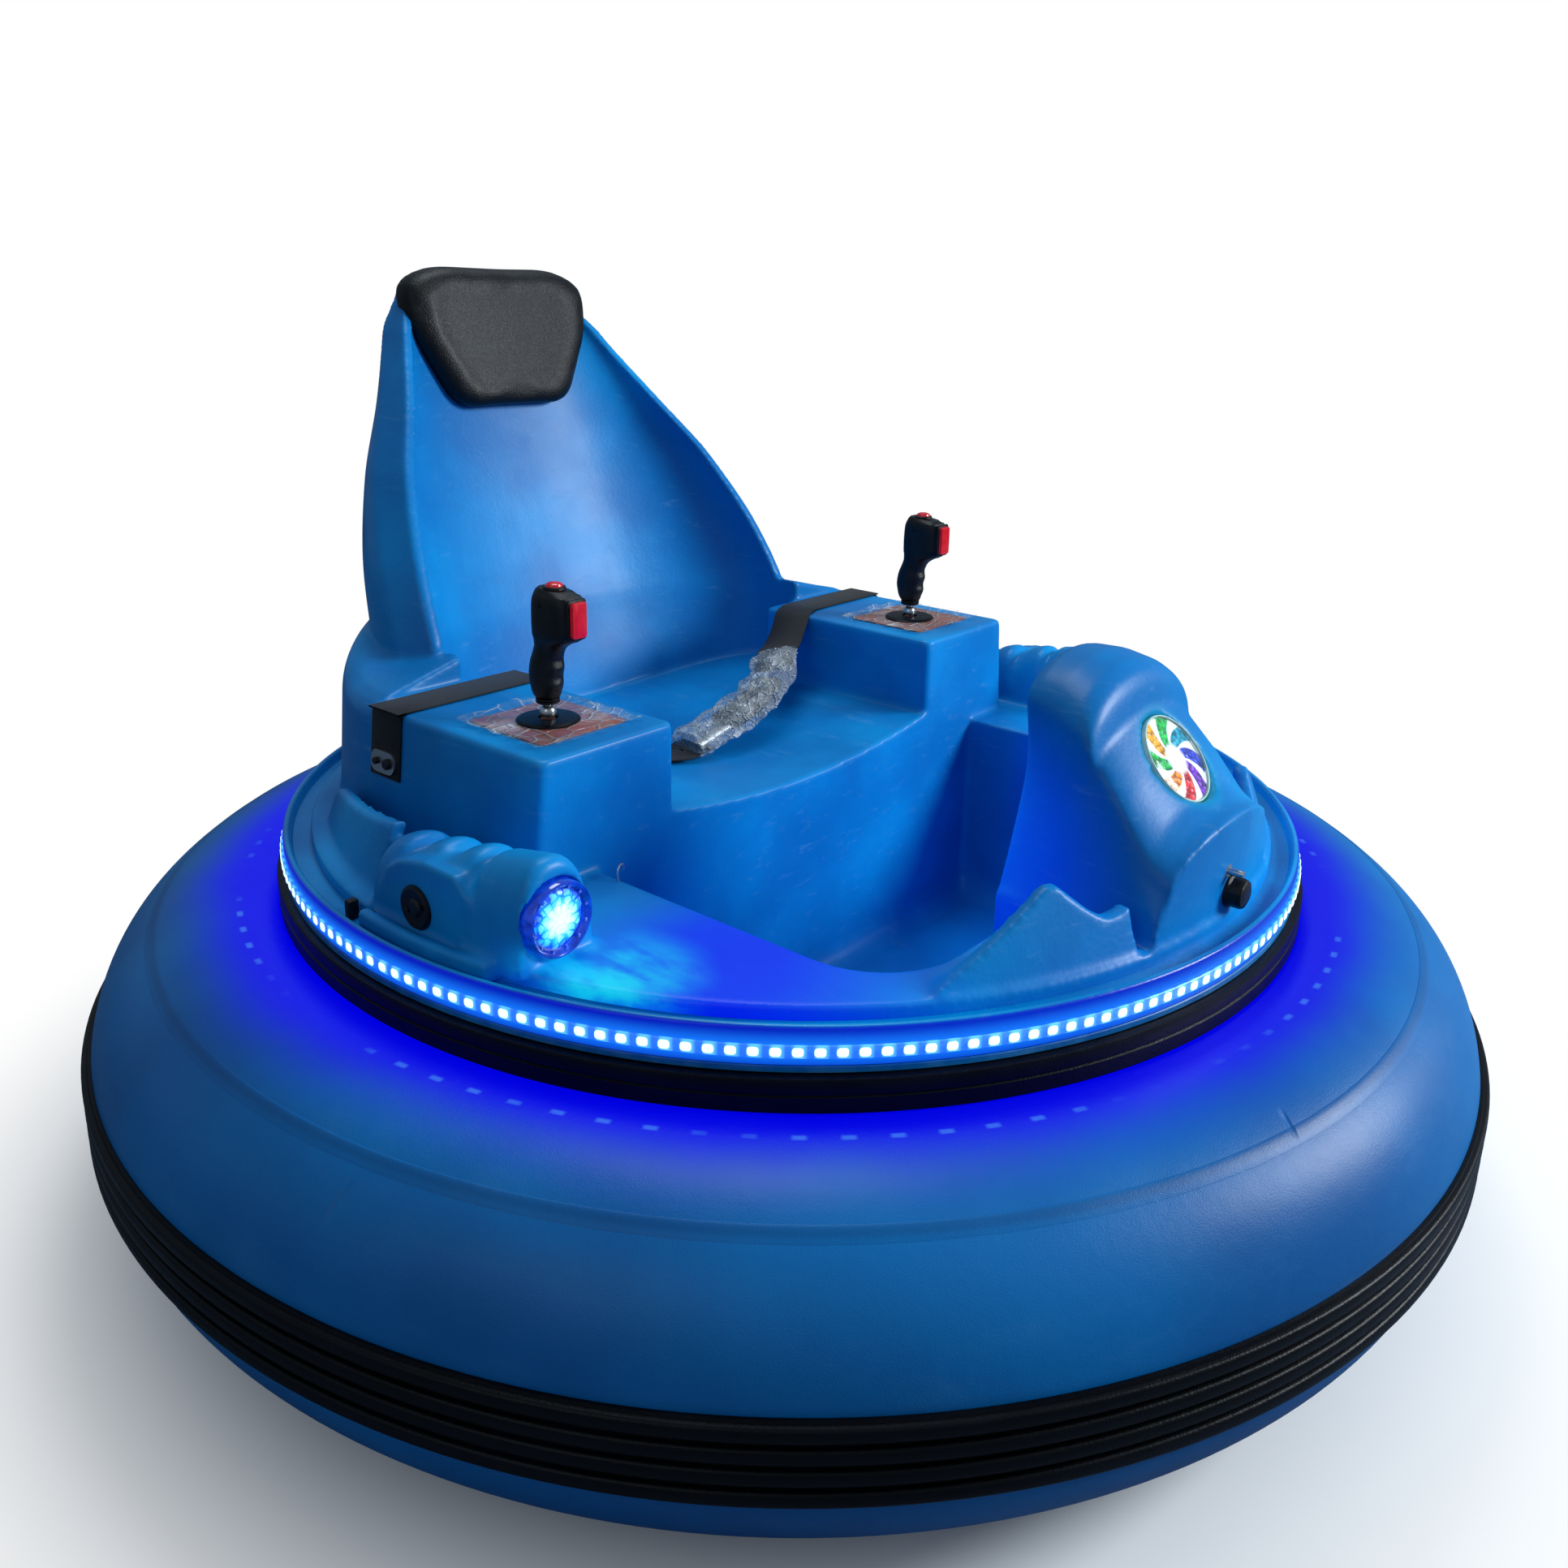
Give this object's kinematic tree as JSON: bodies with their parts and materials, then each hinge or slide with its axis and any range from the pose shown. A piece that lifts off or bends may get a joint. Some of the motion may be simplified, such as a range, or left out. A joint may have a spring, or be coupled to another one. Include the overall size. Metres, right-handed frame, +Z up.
{
  "type": "bumper car",
  "caption": "Round battery bumper car with an air-filled tube round a moulded tub, bucket seat, two control sticks, lamps, driven wheels and casters.",
  "frame": {"origin": "on the ground, under the middle of the ring-shaped tube", "axes": "+Z up, the car faces -Y, the rider's left is +X"},
  "size_m": [1.4666, 1.4666, 0.937],
  "materials": {
    "hull_blue": "satin moulded shell, fine texture, light edge wear",
    "tube_pvc": "coated fabric, soft sheen, welded seams",
    "black_rubber": "matt extruded rubber",
    "tyre_rubber": "matt solid rubber",
    "light_strip": "lit diode strip under clear sleeve",
    "leatherette": "grained black leatherette",
    "lamp_lens": "lit clear lens",
    "frame_steel": "dark painted steel",
    "battery_case": "moulded case",
    "bright_steel": "zinc plated steel",
    "hub_alloy": "cast alloy",
    "panel_film": "terracotta film under clear cover",
    "black_plastic": "moulded grip",
    "red_plastic": "moulded push button",
    "webbing": "woven belt webbing",
    "clear_film": "crumpled clear film"
  },
  "bodies": {
    "car_body": {"lower_hull": "hull_blue", "deck": "hull_blue", "footwell_tub": "hull_blue", "seat_pan": "hull_blue", "seat_surround": "hull_blue", "backrest": "hull_blue", "front_cowl": "hull_blue", "console_right": "hull_blue", "console_left": "hull_blue", "side_pod_right": "hull_blue", "side_pod_left": "hull_blue", "front_fin_right": "hull_blue", "front_fin_left": "hull_blue", "rear_fin_right": "hull_blue", "rear_fin_left": "hull_blue", "inflatable_tube": "tube_pvc", "rubbing_strip": "black_rubber", "edge_trim": "black_rubber", "dust_washer_right": "black_rubber", "dust_washer_left": "black_rubber", "light_strip": "light_strip", "headrest_pad": "leatherette", "front_lamp": "lamp_lens", "headlight_right": "lamp_lens", "headlight_left": "lamp_lens", "chassis_plate": "frame_steel", "drive_motor_right": "frame_steel", "drive_motor_left": "frame_steel", "battery_box": "battery_case", "belt_anchor_right": "bright_steel", "belt_anchor_left": "bright_steel", "control_panel_right": "panel_film", "control_panel_left": "panel_film", "lap_belt_right": "webbing", "lap_belt_left": "webbing", "buckle_sleeve": "clear_film"},
    "drive_wheel_right": {"drive_tyre_right": "tyre_rubber", "drive_hub_right": "hub_alloy", "drive_axle_right": "bright_steel"},
    "stick_right": {"stick_shaft_right": "bright_steel", "stick_grip_right": "black_plastic", "stick_button_right": "red_plastic", "stick_trigger_right": "red_plastic"},
    "drive_wheel_left": {"drive_tyre_left": "tyre_rubber", "drive_hub_left": "hub_alloy", "drive_axle_left": "bright_steel"},
    "stick_left": {"stick_shaft_left": "bright_steel", "stick_grip_left": "black_plastic", "stick_button_left": "red_plastic", "stick_trigger_left": "red_plastic"},
    "caster_swivel_front": {"caster_fork_front": "bright_steel"},
    "caster_roller_front": {"caster_wheel_front": "tyre_rubber"},
    "caster_swivel_rear": {"caster_fork_rear": "bright_steel"},
    "caster_roller_rear": {"caster_wheel_rear": "tyre_rubber"}
  },
  "joints": [
    {"name": "drive_wheel_right_spin", "type": "hinge", "parent": "car_body", "child": "drive_wheel_right", "pos_m": [-0.332, 0.095, 0.1], "axis": [1, 0, 0], "continuous": true},
    {"name": "drive_wheel_left_spin", "type": "hinge", "parent": "car_body", "child": "drive_wheel_left", "pos_m": [0.332, 0.095, 0.1], "axis": [1, 0, 0], "continuous": true},
    {"name": "caster_front_swivel", "type": "hinge", "parent": "car_body", "child": "caster_swivel_front", "pos_m": [0, -0.27, 0.12], "axis": [0, 0, 1], "continuous": true},
    {"name": "caster_front_roll", "type": "hinge", "parent": "caster_swivel_front", "child": "caster_roller_front", "pos_m": [0, -0.238, 0.045], "axis": [1, 0, 0], "continuous": true},
    {"name": "caster_rear_swivel", "type": "hinge", "parent": "car_body", "child": "caster_swivel_rear", "pos_m": [0, 0.33, 0.12], "axis": [0, 0, 1], "continuous": true},
    {"name": "caster_rear_roll", "type": "hinge", "parent": "caster_swivel_rear", "child": "caster_roller_rear", "pos_m": [0, 0.362, 0.045], "axis": [1, 0, 0], "continuous": true},
    {"name": "stick_right_tilt", "type": "hinge", "parent": "car_body", "child": "stick_right", "pos_m": [-0.3, 0.058, 0.5231], "axis": [1, 0, 0], "range_deg": [-15, 15], "stiffness_Nm_per_rad": 1.5},
    {"name": "stick_left_tilt", "type": "hinge", "parent": "car_body", "child": "stick_left", "pos_m": [0.3, 0.058, 0.5231], "axis": [1, 0, 0], "range_deg": [-15, 15], "stiffness_Nm_per_rad": 1.5}
  ]
}
